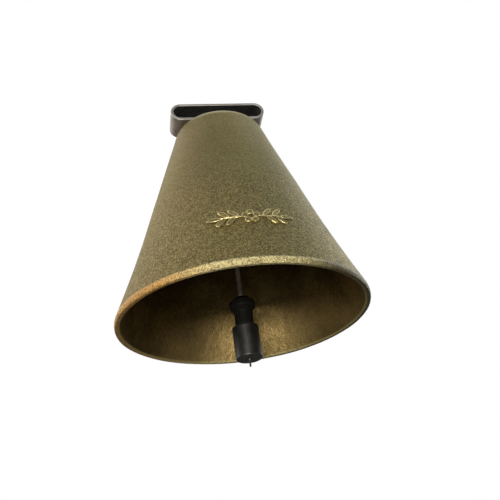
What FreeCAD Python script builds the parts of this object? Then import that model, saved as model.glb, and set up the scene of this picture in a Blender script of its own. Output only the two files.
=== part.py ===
"""Cowbell: a cast bronze bell on a steel strap loop, with a free-hanging clapper.

The bell is drawn with the plane of its mouth at height 0 and its axis on +Z.
Each piece is then moved down, so that the origin is the middle of the strap slot.
The strap runs along Y, and the raised sprig is on the front, at -Y.
"""

import FreeCAD
import Part
import math
import os

Vector = FreeCAD.Vector

# Bell casting, in millimetres
MOUTH_RADIUS = 60.0
LIP_INNER_RADIUS = 57.8
LIP_ROUND = 3.0
LIP_ROUND_HEIGHT = 1.6
LIP_ANGLE = math.radians(22.8)
FLARE_TOP = 40.0
FLARE_TOP_RADIUS = 45.4
FLARE_HOLLOW = 0.3
CONE_ANGLE = math.radians(18.8)
WALL = 3.0
SHOULDER_RADIUS = 9.0
SHOULDER_START = 104.4
SHOULDER_END_ANGLE = math.radians(58.0)
SEAT_HEIGHT = 113.2
CROWN_INSIDE = 108.2

# Raised sprig on the front of the casting
SPRIG_HEIGHT = 27.5
SPRIG_RELIEF = 0.5
SPRIG_ROOT = 1.0
PETALS = 5
PETAL_RADIUS = 1.6
PETAL_REACH = 2.6
STEM_START = 4.2
STEM_WIDTH = 0.8
LEAF_PAIRS = 2
LEAF_LENGTH = 6.4
LEAF_WIDTH = 2.4
LEAF_PITCH = 4.2
LEAF_RISE = 46.0

# Strap loop
LOOP_WIDTH = 50.4
LOOP_HEIGHT = 10.6
LOOP_BAND = 16.0
LOOP_THICKNESS = 1.5
LOOP_EDGE = 0.4
SEAT_CLEARANCE = 0.15

# Eye pin and its washers
SHANK_RADIUS = 2.5
RUNNING_CLEARANCE = 0.06
WASHER_THICKNESS = 0.8
RIVET_WASHER_RADIUS = 5.5
CROWN_WASHER_RADIUS = 6.5
HEAD_RADIUS = 4.3
HEAD_HEIGHT = 1.2
HEAD_GAP = 0.05
COLLAR_RADIUS = 4.2
COLLAR_HEIGHT = 1.6
COLLAR_GAP = 0.15
PIN_WIRE_RADIUS = 1.5
PIN_EYE_SIZE = 8.4
PIN_EYE_CORNER = 2.6

# Clapper
PIVOT_HEIGHT = 96.4
ROD_RADIUS = 1.05
ROD_EYE_RADIUS = 3.25
ROD_BEND_RADIUS = 2.0
ROD_EYE_END = math.radians(236.0)
HANGING_GAP = 0.2
ROD_FIT = 0.02
SLEEVE_RADIUS = 6.2
SLEEVE_TOP = -2.8
SLEEVE_LENGTH = 16.0
SLEEVE_CHAMFER = 0.6
SLEEVE_FLOOR = 2.0
TIP_RADIUS = 0.45
TIP_LENGTH = 3.4
NECK_RADIUS = 4.3
NECK_FOOT_RADIUS = 3.9
NECK_FOOT = 0.5
NECK_TOP = 4.0
KNOB_RADIUS = 6.1
KNOB_LOW = 6.8
KNOB_HIGH = 9.4
KNOB_TOP = 11.8
KNOB_TOP_RADIUS = 3.4

SLOT_CENTRE = SEAT_HEIGHT + LOOP_HEIGHT / 2


def point(radius, height):
    """A point of an outline that is turned about the bell's axis."""
    return Vector(radius, 0, height)


def segment(start, end):
    return Part.LineSegment(start, end).toShape()


def arc(start, middle, end):
    return Part.Arc(start, middle, end).toShape()


def turned(edges):
    """Turn a closed outline about the bell's axis into a solid."""
    face = Part.Face(Part.Wire(edges))
    return face.revolve(Vector(0, 0, 0), Vector(0, 0, 1), 360)


def turned_polygon(corners):
    """Turn a polygon, given as (radius, height) corners, about the axis."""
    points = [point(radius, height) for radius, height in corners]
    closed = points + points[:1]
    edges = [segment(a, b) for a, b in zip(closed, closed[1:])]
    return turned(edges)


def ring(outer_radius, inner_radius, bottom, top):
    """A flat washer on the bell's axis."""
    disc = Part.makeCylinder(outer_radius, top - bottom, point(0, bottom))
    hole = Part.makeCylinder(inner_radius, top - bottom, point(0, bottom))
    return disc.cut(hole)


def cone_radius(height, offset=0.0):
    """Radius of the straight cone, or of a surface parallel to it."""
    straight = FLARE_TOP_RADIUS - (height - FLARE_TOP) * math.tan(CONE_ANGLE)
    return straight + offset / math.cos(CONE_ANGLE)


def flare_arc(offset, low_radius, low_height):
    """The hollow flare between the lip and the straight cone, going up."""
    top_radius = cone_radius(FLARE_TOP, offset)
    middle_height = (low_height + FLARE_TOP) / 2
    middle_radius = (low_radius + top_radius) / 2 - FLARE_HOLLOW
    return arc(point(low_radius, low_height),
               point(middle_radius, middle_height),
               point(top_radius, FLARE_TOP))


def lip_round_points():
    """Start, middle and end of the round on the outside of the lip."""
    centre_radius = MOUTH_RADIUS - LIP_ROUND
    start_angle = -math.asin(LIP_ROUND_HEIGHT / LIP_ROUND)
    angles = (start_angle, (start_angle + LIP_ANGLE) / 2, LIP_ANGLE)
    return [on_circle(centre_radius, LIP_ROUND_HEIGHT, LIP_ROUND, angle) for angle in angles]


def on_circle(centre_radius, centre_height, radius, angle):
    """A point of a circle in the outline, at an angle above the radius."""
    return point(centre_radius + radius * math.cos(angle),
                 centre_height + radius * math.sin(angle))


def outer_edges():
    """The outside of the casting, from the lip to the top of the crown."""
    lip_start, lip_middle, lip_end = lip_round_points()
    shoulder_start = point(cone_radius(SHOULDER_START), SHOULDER_START)
    centre_radius = shoulder_start.x - SHOULDER_RADIUS * math.cos(CONE_ANGLE)
    centre_height = shoulder_start.z - SHOULDER_RADIUS * math.sin(CONE_ANGLE)
    middle_angle = (CONE_ANGLE + SHOULDER_END_ANGLE) / 2
    shoulder_middle = on_circle(centre_radius, centre_height, SHOULDER_RADIUS, middle_angle)
    shoulder_end = on_circle(centre_radius, centre_height, SHOULDER_RADIUS, SHOULDER_END_ANGLE)
    crown_radius = shoulder_end.x / math.cos(SHOULDER_END_ANGLE)
    crown_centre = shoulder_end.z - crown_radius * math.sin(SHOULDER_END_ANGLE)
    crown_angle = (SHOULDER_END_ANGLE + math.pi / 2) / 2
    crown_middle = on_circle(0, crown_centre, crown_radius, crown_angle)
    crown_top = point(0, crown_centre + crown_radius)
    return [
        arc(lip_start, lip_middle, lip_end),
        flare_arc(0, lip_end.x, lip_end.z),
        segment(point(FLARE_TOP_RADIUS, FLARE_TOP), shoulder_start),
        arc(shoulder_start, shoulder_middle, shoulder_end),
        arc(shoulder_end, crown_middle, crown_top),
    ]


def inner_edges():
    """The inside of the casting, from the crown down to the lip."""
    fillet = SHOULDER_RADIUS - WALL
    fillet_height = CROWN_INSIDE - fillet
    fillet_radius = cone_radius(fillet_height, -WALL - fillet)
    corner_start = point(fillet_radius, CROWN_INSIDE)
    corner_middle = on_circle(fillet_radius, fillet_height, fillet, (CONE_ANGLE + math.pi / 2) / 2)
    corner_end = on_circle(fillet_radius, fillet_height, fillet, CONE_ANGLE)
    return [
        segment(point(0, CROWN_INSIDE), corner_start),
        arc(corner_start, corner_middle, corner_end),
        segment(corner_end, point(cone_radius(FLARE_TOP, -WALL), FLARE_TOP)),
        flare_arc(-WALL, LIP_INNER_RADIUS, 0),
    ]


def leaf(length, width):
    """A pointed leaf lying along X from the origin, as a flat face in XZ."""
    tip = Vector(length, 0, 0)
    upper = arc(Vector(0, 0, 0), Vector(length / 2, 0, width / 2), tip)
    lower = arc(tip, Vector(length / 2, 0, -width / 2), Vector(0, 0, 0))
    return Part.Face(Part.Wire([upper, lower]))


def placed_leaf(place, rise):
    """A leaf whose foot is on the stem, turned up by some degrees."""
    blade = leaf(LEAF_LENGTH, LEAF_WIDTH)
    blade.rotate(Vector(0, 0, 0), Vector(0, -1, 0), rise)
    blade.translate(Vector(place, 0, 0))
    return blade


def stem(start, end):
    """A straight stem along X, as a flat face in XZ."""
    half = STEM_WIDTH / 2
    corners = [Vector(start, 0, -half), Vector(end, 0, -half),
               Vector(end, 0, half), Vector(start, 0, half), Vector(start, 0, -half)]
    return Part.Face(Part.makePolygon(corners))


def sprig_faces():
    """A small five-petalled flower between two leafy stems, in the XZ plane."""
    faces = []
    normal = Vector(0, -1, 0)
    for index in range(PETALS):
        angle = math.pi / 2 + 2 * math.pi * index / PETALS
        centre = Vector(PETAL_REACH * math.cos(angle), 0, PETAL_REACH * math.sin(angle))
        circle = Part.Circle(centre, normal, PETAL_RADIUS).toShape()
        faces.append(Part.Face(Part.Wire(circle)))
    stem_end = STEM_START + LEAF_PITCH * LEAF_PAIRS
    side_faces = [stem(STEM_START - STEM_WIDTH, stem_end + STEM_WIDTH), placed_leaf(stem_end, 0)]
    for index in range(LEAF_PAIRS):
        side_faces.append(placed_leaf(STEM_START + LEAF_PITCH * (index + 0.2), LEAF_RISE))
        side_faces.append(placed_leaf(STEM_START + LEAF_PITCH * (index + 0.6), -LEAF_RISE))
    faces += side_faces
    faces += [face.mirror(Vector(0, 0, 0), Vector(1, 0, 0)) for face in side_faces]
    return faces


def sprig_layer():
    """A thin layer that follows the flare, from inside the wall to the relief."""
    lip_end = lip_round_points()[2]
    outer = flare_arc(SPRIG_RELIEF, lip_end.x + SPRIG_RELIEF, lip_end.z)
    inner = flare_arc(-SPRIG_ROOT, lip_end.x - SPRIG_ROOT, lip_end.z)
    top = segment(outer.Vertexes[1].Point, inner.Vertexes[1].Point)
    bottom = segment(inner.Vertexes[0].Point, outer.Vertexes[0].Point)
    return turned([outer, top, inner, bottom])


def make_bell_shell():
    wall = outer_edges()
    wall.append(segment(wall[-1].Vertexes[1].Point, point(0, CROWN_INSIDE)))
    wall += inner_edges()
    wall.append(segment(point(LIP_INNER_RADIUS, 0), lip_round_points()[0]))
    shell = turned(wall)
    seat_width = LOOP_BAND + 2 * SEAT_CLEARANCE
    seat = Part.makeBox(LOOP_WIDTH, seat_width, LOOP_HEIGHT,
                        Vector(-LOOP_WIDTH / 2, -seat_width / 2, SEAT_HEIGHT))
    bore = Part.makeCylinder(SHANK_RADIUS + RUNNING_CLEARANCE, LOOP_HEIGHT, point(0, CROWN_INSIDE - 1))
    shell = shell.cut(seat).cut(bore)
    layer = sprig_layer()
    for face in sprig_faces():
        face.translate(Vector(0, 0, SPRIG_HEIGHT))
        prism = face.extrude(Vector(0, -MOUTH_RADIUS, 0))
        shell = shell.fuse(prism.common(layer))
    return shell.removeSplitter()


def stadium(width, height):
    """A flat face in the XZ plane with round ends, centred on the slot."""
    radius = height / 2
    reach = width / 2 - radius
    top = SLOT_CENTRE + radius
    bottom = SLOT_CENTRE - radius
    right = arc(Vector(reach, 0, bottom), Vector(reach + radius, 0, SLOT_CENTRE), Vector(reach, 0, top))
    left = arc(Vector(-reach, 0, top), Vector(-reach - radius, 0, SLOT_CENTRE), Vector(-reach, 0, bottom))
    upper = segment(Vector(reach, 0, top), Vector(-reach, 0, top))
    lower = segment(Vector(-reach, 0, bottom), Vector(reach, 0, bottom))
    return Part.Face(Part.Wire([right, upper, left, lower]))


def make_strap_loop():
    outer = stadium(LOOP_WIDTH, LOOP_HEIGHT)
    inner = stadium(LOOP_WIDTH - 2 * LOOP_THICKNESS, LOOP_HEIGHT - 2 * LOOP_THICKNESS)
    band = outer.cut(inner).extrude(Vector(0, LOOP_BAND, 0))
    band.translate(Vector(0, -LOOP_BAND / 2, 0))
    rims = [edge for edge in band.Edges if abs(edge.BoundBox.YLength) < LOOP_EDGE / 10]
    band = band.makeFillet(LOOP_EDGE, rims)
    hole = Part.makeCylinder(SHANK_RADIUS + RUNNING_CLEARANCE, 2 * LOOP_THICKNESS,
                             point(0, SEAT_HEIGHT - LOOP_THICKNESS / 2))
    return band.cut(hole)


def make_rivet_washer():
    bottom = SEAT_HEIGHT + LOOP_THICKNESS
    return ring(RIVET_WASHER_RADIUS, SHANK_RADIUS + RUNNING_CLEARANCE,
                bottom, bottom + WASHER_THICKNESS)


def make_crown_washer():
    return ring(CROWN_WASHER_RADIUS, SHANK_RADIUS + RUNNING_CLEARANCE,
                CROWN_INSIDE - WASHER_THICKNESS, CROWN_INSIDE)


def make_pin_eye():
    """Round bar bent to a square with round corners; its lower side is the pivot."""
    half = PIN_EYE_SIZE / 2
    straight = half - PIN_EYE_CORNER
    diagonal = straight + PIN_EYE_CORNER * math.sqrt(0.5)
    centre = Vector(0, 0, PIVOT_HEIGHT + half)
    start = Vector(-straight, 0, -half)
    edges = []
    for quarter in range(4):
        side = segment(start, Vector(straight, 0, -half))
        corner = arc(Vector(straight, 0, -half), Vector(diagonal, 0, -diagonal),
                     Vector(half, 0, -straight))
        for edge in (side, corner):
            edge.rotate(Vector(0, 0, 0), Vector(0, -1, 0), 90 * quarter)
            edge.translate(centre)
            edges.append(edge)
    section = Part.Circle(start + centre, Vector(1, 0, 0), PIN_WIRE_RADIUS).toShape()
    return Part.Wire(edges).makePipeShell([Part.Wire(section)], True, True)


def make_eye_pin():
    """Headed shank that turns in the crown, with the eye the clapper hangs from."""
    head_bottom = SEAT_HEIGHT + LOOP_THICKNESS + WASHER_THICKNESS + HEAD_GAP
    head_top = head_bottom + HEAD_HEIGHT
    collar_top = CROWN_INSIDE - WASHER_THICKNESS - COLLAR_GAP
    collar_bottom = collar_top - COLLAR_HEIGHT
    dome_radius = (HEAD_RADIUS ** 2 + HEAD_HEIGHT ** 2) / (2 * HEAD_HEIGHT)
    dome_angle = (math.pi / 2 + math.acos(HEAD_RADIUS / dome_radius)) / 2
    dome_middle = on_circle(0, head_top - dome_radius, dome_radius, dome_angle)
    dome = arc(point(HEAD_RADIUS, head_bottom), dome_middle, point(0, head_top))
    corners = [(0, head_top), (0, collar_bottom), (COLLAR_RADIUS, collar_bottom),
               (COLLAR_RADIUS, collar_top), (SHANK_RADIUS, collar_top),
               (SHANK_RADIUS, head_bottom), (HEAD_RADIUS, head_bottom)]
    points = [point(radius, height) for radius, height in corners]
    edges = [segment(a, b) for a, b in zip(points, points[1:])]
    pin = turned(edges + [dome])
    return pin.fuse(make_pin_eye()).removeSplitter()


def make_clapper_rod():
    """Steel wire: a formed eye at the top, a straight run and a drawn-down tip."""
    inner_radius = ROD_EYE_RADIUS - ROD_RADIUS
    eye_height = PIVOT_HEIGHT + PIN_WIRE_RADIUS + HANGING_GAP - inner_radius
    reach = ROD_BEND_RADIUS + ROD_EYE_RADIUS
    bend_height = eye_height - math.sqrt(reach ** 2 - ROD_BEND_RADIUS ** 2)
    eye_start = math.atan2(bend_height - eye_height, ROD_BEND_RADIUS)
    bend_turn = -eye_start
    sleeve_bottom = SLEEVE_TOP - SLEEVE_LENGTH
    wire_bottom = sleeve_bottom + SLEEVE_FLOOR

    def on_bend(turn):
        return Vector(0, ROD_BEND_RADIUS * (1 - math.cos(turn)),
                      bend_height + ROD_BEND_RADIUS * math.sin(turn))

    def on_eye(angle):
        return Vector(0, ROD_EYE_RADIUS * math.cos(angle),
                      eye_height + ROD_EYE_RADIUS * math.sin(angle))

    path = Part.Wire([
        segment(point(0, wire_bottom), point(0, bend_height)),
        arc(on_bend(0), on_bend(bend_turn / 2), on_bend(bend_turn)),
        arc(on_eye(eye_start), on_eye((eye_start + ROD_EYE_END) / 2), on_eye(ROD_EYE_END)),
    ])
    section = Part.Wire(Part.Circle(point(0, wire_bottom), Vector(0, 0, 1), ROD_RADIUS).toShape())
    rod = path.makePipeShell([section], True, True)
    tip_start = sleeve_bottom - TIP_LENGTH
    tip = Part.makeCylinder(TIP_RADIUS, wire_bottom - tip_start + 0.5, point(0, tip_start))
    return rod.fuse(tip).removeSplitter()


def make_clapper_knob():
    """Black moulded knob on its neck, above the striker sleeve."""
    bore = ROD_RADIUS + ROD_FIT
    return turned_polygon([
        (bore, SLEEVE_TOP), (NECK_FOOT_RADIUS, SLEEVE_TOP),
        (NECK_FOOT_RADIUS, SLEEVE_TOP + NECK_FOOT), (NECK_RADIUS, SLEEVE_TOP + NECK_FOOT),
        (NECK_RADIUS, NECK_TOP), (KNOB_RADIUS, KNOB_LOW), (KNOB_RADIUS, KNOB_HIGH),
        (KNOB_TOP_RADIUS, KNOB_TOP), (bore, KNOB_TOP),
    ])


def make_striker_sleeve():
    """Black cylinder that strikes the lip, pressed on the end of the rod."""
    bottom = SLEEVE_TOP - SLEEVE_LENGTH
    sleeve = Part.makeCylinder(SLEEVE_RADIUS, SLEEVE_LENGTH, point(0, bottom))
    rims = [edge for edge in sleeve.Edges if edge.Closed and edge.BoundBox.ZLength < SLEEVE_CHAMFER]
    sleeve = sleeve.makeChamfer(SLEEVE_CHAMFER, rims)
    bore = Part.makeCylinder(ROD_RADIUS + ROD_FIT, SLEEVE_LENGTH, point(0, bottom + SLEEVE_FLOOR))
    tip_hole = Part.makeCylinder(TIP_RADIUS + ROD_FIT, SLEEVE_LENGTH, point(0, bottom - 1))
    return sleeve.cut(bore).cut(tip_hole)


PIECES = {
    "bell_shell": make_bell_shell,
    "strap_loop": make_strap_loop,
    "rivet_washer": make_rivet_washer,
    "crown_washer": make_crown_washer,
    "eye_pin": make_eye_pin,
    "clapper_rod": make_clapper_rod,
    "clapper_knob": make_clapper_knob,
    "striker_sleeve": make_striker_sleeve,
}


def main():
    os.makedirs("parts", exist_ok=True)
    for name, make in PIECES.items():
        shape = make()
        shape.translate(Vector(0, 0, -SLOT_CENTRE))
        shape.exportStep(f"parts/{name}.step")
        print(name, "valid", shape.isValid(), "solids", len(shape.Solids), "volume", round(shape.Volume, 1))


main()
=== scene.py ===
"""Cast cowbell: the visible pieces and their finishes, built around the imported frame.

Lengths are in metres. The origin is the middle of the strap slot, +Z is up, and the
front of the bell, with its raised sprig, faces -Y.
"""

import math

import bpy
from bpy.props import FloatProperty, FloatVectorProperty, IntProperty, PointerProperty
from bpy.types import Operator, Panel, PropertyGroup
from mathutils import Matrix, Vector


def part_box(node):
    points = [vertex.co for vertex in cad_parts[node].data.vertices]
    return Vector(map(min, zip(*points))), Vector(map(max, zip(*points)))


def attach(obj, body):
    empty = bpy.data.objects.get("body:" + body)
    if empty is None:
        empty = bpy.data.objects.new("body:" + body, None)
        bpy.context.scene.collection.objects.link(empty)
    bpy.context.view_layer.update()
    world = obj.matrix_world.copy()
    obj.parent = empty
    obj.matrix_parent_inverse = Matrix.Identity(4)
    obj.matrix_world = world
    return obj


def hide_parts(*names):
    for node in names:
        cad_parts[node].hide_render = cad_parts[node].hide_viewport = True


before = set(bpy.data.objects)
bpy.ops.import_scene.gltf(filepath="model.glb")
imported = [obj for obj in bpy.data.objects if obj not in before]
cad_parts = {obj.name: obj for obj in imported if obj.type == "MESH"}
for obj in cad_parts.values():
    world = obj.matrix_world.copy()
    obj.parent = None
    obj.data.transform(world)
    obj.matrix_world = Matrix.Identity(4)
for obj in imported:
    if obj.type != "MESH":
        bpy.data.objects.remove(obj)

bl_info = {
    "name": "Cowbell",
    "version": (1, 0, 0),
    "blender": (4, 5, 0),
    "location": "View3D > Sidebar > Cowbell",
    "description": "Builds a cast bronze cowbell with a steel strap loop and a hanging clapper",
    "category": "Object",
}

MM = 0.001
SHELL_LOW, SHELL_HIGH = (Vector(corner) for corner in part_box("bell_shell"))
LOOP_LOW, LOOP_HIGH = (Vector(corner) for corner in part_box("strap_loop"))
PIN_LOW, PIN_HIGH = (Vector(corner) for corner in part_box("eye_pin"))
ROD_LOW, ROD_HIGH = (Vector(corner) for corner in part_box("clapper_rod"))
KNOB_BOTTOM, KNOB_TOP = (Vector(corner).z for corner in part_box("clapper_knob"))
SLEEVE_LOW, SLEEVE_HIGH = (Vector(corner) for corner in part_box("striker_sleeve"))
CROWN_WASHER_LOW, CROWN_WASHER_HIGH = (Vector(corner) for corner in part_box("crown_washer"))
RIVET_WASHER_LOW, RIVET_WASHER_HIGH = (Vector(corner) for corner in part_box("rivet_washer"))
LIP = SHELL_LOW.z

# Finishing
SMOOTH_ANGLE = 35.0
FULL_EDGE_TURN = math.radians(20)
LIP_EDGE_ROUND = 0.45 * MM
WASHER_EDGE_ROUND = 0.18 * MM
PIN_EDGE_ROUND = 0.22 * MM
KNOB_EDGE_ROUND = 0.55 * MM
SLEEVE_EDGE_ROUND = 0.30 * MM
RECESS_SLOPE = 0.3 * MM
WALL_SPACING, CEILING_SPACING = 1.3 * MM, 1.6 * MM
CUTTER_STEPS = 48
WIRE_STEPS = 28
TIP_TAPER = 0.25 * MM
TIP_ROUND, TIP_ROUND_HEIGHT = 0.16 * MM, 0.12 * MM

# Stage: the camera's place is measured from the middle of the mouth, its turn is in degrees
CAMERA_PLACE = Vector((-0.05432, -0.29889, -0.11966))
CAMERA_TURN = (117.506, 7.610, -7.783)
CAMERA_LENS = 49.92
CAMERA_SENSOR = 36.0
CAMERA_CLIP = 0.01
FLOOR_DROP = 0.36
FLOOR_SIZE = 60.0
LIGHT_PANELS = (  # name, place, width, height, power in watts, tint
    ("right panel", (0.58, 0.32, 0.22), 0.35, 0.6, 1.4, (1.0, 0.99, 0.95)),
    ("left panel", (-0.62, 0.20, 0.22), 0.45, 0.6, 2.3, (1.0, 0.92, 0.80)),
    ("front panel", (-0.22, -0.80, -0.25), 0.24, 0.12, 4.8, (1.0, 0.96, 0.86)),
    ("top panel", (0.05, 0.10, 0.60), 0.8, 0.6, 2.0, (1.0, 1.0, 1.0)),
)
NODE_WIDTH, NODE_HEIGHT = 190, 170


def length(name, description, default):
    """A size in metres that a user can change."""
    return FloatProperty(name=name, description=description, default=default, min=0.0,
                         precision=5, unit='LENGTH')


def degrees(name, description, default):
    """An angle, given in degrees and kept in radians."""
    return FloatProperty(name=name, description=description, default=math.radians(default),
                         unit='ROTATION')


def number(name, description, default, low, high):
    """A whole number."""
    return IntProperty(name=name, description=description, default=default, min=low, max=high)


def colour(name, description, default):
    """A plain colour of a finish."""
    return FloatVectorProperty(name=name, description=description, default=default, size=3,
                               min=0.0, max=1.0, subtype='COLOR')


class CastingSizes(PropertyGroup):
    mouth_radius: length("Mouth radius", "Outer radius of the lip", 60.0 * MM)
    lip_inner_radius: length("Lip inner radius", "Radius where the inside meets the lip", 57.8 * MM)
    lip_round: length("Lip round", "Radius of the round on the outside of the lip", 3.0 * MM)
    lip_round_height: length("Lip round height", "Height of that round's centre", 1.6 * MM)
    lip_angle: degrees("Lip angle", "Angle at which the round runs into the flare", 22.8)
    flare_top: length("Flare top", "Height at which the flare becomes a straight cone", 40.0 * MM)
    flare_top_radius: length("Flare top radius", "Outer radius at that height", 45.4 * MM)
    flare_hollow: length("Flare hollow", "How far the flare dips below a straight line", 0.3 * MM)
    cone_angle: degrees("Cone angle", "Half angle of the straight cone", 18.8)
    wall: length("Wall", "Thickness of the casting", 3.0 * MM)
    shoulder_radius: length("Shoulder radius", "Radius of the round below the crown", 9.0 * MM)
    shoulder_start: length("Shoulder start", "Height at which the shoulder begins", 104.4 * MM)
    shoulder_end: degrees("Shoulder end", "Angle at which the shoulder runs into the crown", 58.0)
    crown_inside: length("Crown inside", "Height of the ceiling inside the bell", 108.2 * MM)
    seat_gap: length("Seat gap", "Gap between the loop and the seat cast for it", 0.15 * MM)
    bore_radius: length("Bore radius", "Radius of the bore for the pin", 2.56 * MM)
    waviness: length("Waviness", "Unevenness of the casting over its whole surface", 0.35 * MM)
    outer_grain: length("Outer grain", "Depth of the sand grain on the outside", 0.06 * MM)
    inner_grain: length("Inner grain", "Depth of the coarser grain on the inside", 0.22 * MM)
    turns: number("Steps around", "Steps around the bell", 420, 24, 480)


class SprigSizes(PropertyGroup):
    height: length("Height", "Height of the sprig's middle above the lip", 27.5 * MM)
    relief: length("Relief", "How far the sprig stands out of the wall", 0.5 * MM)
    root: length("Root", "How far the sprig reaches into the wall", 0.4 * MM)
    petals: number("Petals", "Petals of the flower", 5, 3, 9)
    petal_radius: length("Petal radius", "Radius of one petal", 1.6 * MM)
    petal_reach: length("Petal reach", "Distance of a petal's middle from the flower's", 2.6 * MM)
    stem_start: length("Stem start", "Distance of the stem from the flower's middle", 4.2 * MM)
    stem_width: length("Stem width", "Width of the stem", 0.8 * MM)
    leaf_pairs: number("Leaf pairs", "Pairs of leaves on each stem", 2, 1, 4)
    leaf_length: length("Leaf length", "Length of one leaf", 6.4 * MM)
    leaf_width: length("Leaf width", "Width of one leaf", 2.4 * MM)
    leaf_pitch: length("Leaf pitch", "Distance between pairs of leaves", 4.2 * MM)
    leaf_rise: degrees("Leaf rise", "Angle between a leaf and its stem", 46.0)


class HangerSizes(PropertyGroup):
    band_thickness: length("Band thickness", "Thickness of the loop's steel strip", 1.5 * MM)
    band_edge: length("Band edge", "Round on the edges of the strip", 0.45 * MM)
    shank_radius: length("Shank radius", "Radius of the pin's shank", 2.5 * MM)
    bore_radius: length("Bore radius", "Radius of the bores in loop and washers", 2.56 * MM)
    head_radius: length("Head radius", "Radius of the pin's domed head", 4.3 * MM)
    head_height: length("Head height", "Height of the pin's domed head", 1.2 * MM)
    collar_radius: length("Collar radius", "Radius of the collar under the crown", 4.2 * MM)
    collar_gap: length("Collar gap", "Running gap over the collar", 0.15 * MM)
    collar_height: length("Collar height", "Height of the collar", 1.6 * MM)
    wire_radius: length("Eye bar radius", "Radius of the bar bent to the pin's eye", 1.5 * MM)
    eye_size: length("Eye size", "Width of the pin's eye, between the bar's middles", 8.4 * MM)
    eye_corner: length("Eye corner", "Radius of the eye's bends", 2.6 * MM)


class ClapperSizes(PropertyGroup):
    rod_radius: length("Rod radius", "Radius of the clapper's wire", 1.05 * MM)
    eye_radius: length("Eye radius", "Radius of the eye, to the middle of the wire", 3.25 * MM)
    bend_radius: length("Bend radius", "Radius of the bend under the eye", 2.0 * MM)
    eye_end: degrees("Eye end", "Angle at which the eye's wire ends", 236.0)
    tip_radius: length("Tip radius", "Radius of the drawn-down tip", 0.45 * MM)
    rod_fit: length("Rod fit", "Gap between the wire and the moulded parts", 0.02 * MM)
    neck_radius: length("Neck radius", "Radius of the moulded neck", 4.3 * MM)
    neck_foot_radius: length("Neck foot radius", "Radius of the groove above the striker", 3.9 * MM)
    neck_foot: length("Neck foot", "Height of that groove", 0.5 * MM)
    neck_height: length("Neck height", "Height of the neck, with its foot", 6.8 * MM)
    knob_radius: length("Knob radius", "Radius of the moulded knob", 6.1 * MM)
    knob_low: length("Knob low", "Height at which the knob is full width", 9.6 * MM)
    knob_high: length("Knob high", "Height at which the knob starts to close", 12.2 * MM)
    knob_top_radius: length("Knob top radius", "Radius of the knob's top", 3.4 * MM)
    sleeve_chamfer: length("Striker chamfer", "Chamfer on both ends of the striker", 0.6 * MM)
    sleeve_floor: length("Striker floor", "Thickness of the striker's closed end", 2.0 * MM)
    recess_radius: length("Recess radius", "Radius of the dimple round the tip", 1.9 * MM)
    recess_depth: length("Recess depth", "Depth of the dimple round the tip", 0.35 * MM)


class Finishes(PropertyGroup):
    olive: colour("Olive bronze", "Most of the casting's outside", (0.186, 0.160, 0.046))
    brown: colour("Brown bronze", "Browner patches of the casting", (0.214, 0.164, 0.053))
    pale: colour("Pale bronze", "Light grains on the casting", (0.62, 0.53, 0.24))
    worn_and_highlight: colour("Worn bronze and highlight", "Bare bronze where the casting wears, also a painted highlight", (1.0, 0.85, 0.42))
    copper: colour("Copper bronze", "Redder stretch of the lip", (0.68, 0.37, 0.09))
    dull_shaded_lip: colour("Dull shaded bronze", "Unworn stretch of the lip, darkened as painted shade", (0.13, 0.110, 0.042))
    inside: colour("Inside bronze", "The casting's golden inside", (0.46, 0.33, 0.135))
    # This dark colour serves both the real stains and the painted shade deep inside and at the
    # sides.
    inside_stain_and_shade: colour("Inside stain and shade", "Darker patches and painted shade of the inside", (0.100, 0.070, 0.019))
    steel: colour("Band steel", "The dark steel of the strap loop", (0.40, 0.34, 0.275))
    bare_steel_and_highlight: colour("Bare steel and highlight", "Bare steel on edges, also a painted highlight", (0.56, 0.55, 0.53))
    # Painted shade: the loop's inside is the same steel, made near-black where it lies in shadow.
    loop_shade: colour("Loop shade", "The near-black painted shade inside the loop", (0.030, 0.030, 0.029))
    wire: colour("Wire steel", "The clapper's wire and the fasteners", (0.55, 0.52, 0.45))
    plastic: colour("Black plastic", "The moulded striker and knob", (0.0042, 0.0040, 0.0034))
    floor: colour("Floor", "The pale floor", (0.80, 0.80, 0.79))
    floor_bounce: colour("Floor bounce", "The floor as it lights the bell", (0.16, 0.15, 0.14))


# Modelling ------------------------------------------------------------------------------

def deselect():
    """Leave nothing selected, with every object out of edit mode."""
    if bpy.context.object and bpy.context.object.mode != 'OBJECT':
        bpy.ops.object.mode_set(mode='OBJECT')
    bpy.ops.object.select_all(action='DESELECT')


def pick(piece):
    """Make one piece the only selected and the active one."""
    deselect()
    piece.select_set(True)
    bpy.context.view_layer.objects.active = piece


def named(name):
    """Name the object that was just added, and keep its place in its mesh."""
    piece = bpy.context.object
    piece.name = name
    piece.data.name = name
    bpy.ops.object.transform_apply(location=True, rotation=True, scale=True)
    return piece


def edit(piece, part='VERT'):
    """Go into edit mode with nothing selected."""
    pick(piece)
    bpy.ops.object.mode_set(mode='EDIT')
    bpy.ops.mesh.select_mode(type=part)
    bpy.ops.mesh.select_all(action='DESELECT')


def select_where(piece, part, test):
    """Select, in edit mode, the faces, edges or vertices for which test is true."""
    bpy.ops.object.mode_set(mode='OBJECT')
    mesh = piece.data
    for group in (mesh.polygons, mesh.edges, mesh.vertices):
        group.foreach_set("select", [False] * len(group))
    chosen = {'FACE': mesh.polygons, 'EDGE': mesh.edges, 'VERT': mesh.vertices}[part]
    for item in chosen:
        item.select = bool(test(item))
    bpy.ops.object.mode_set(mode='EDIT')
    bpy.ops.mesh.select_mode(type=part)


def reach_along(piece, edge, axis):
    """How far an edge reaches along one axis."""
    start, end = (piece.data.vertices[index].co[axis] for index in edge.vertices)
    return abs(start - end)


def close_up(piece, doubles=1e-6):
    """Merge doubles, turn every face outwards and leave edit mode."""
    bpy.ops.mesh.select_all(action='SELECT')
    bpy.ops.mesh.remove_doubles(threshold=doubles)
    bpy.ops.mesh.normals_make_consistent(inside=False)
    bpy.ops.object.mode_set(mode='OBJECT')
    return piece


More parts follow.
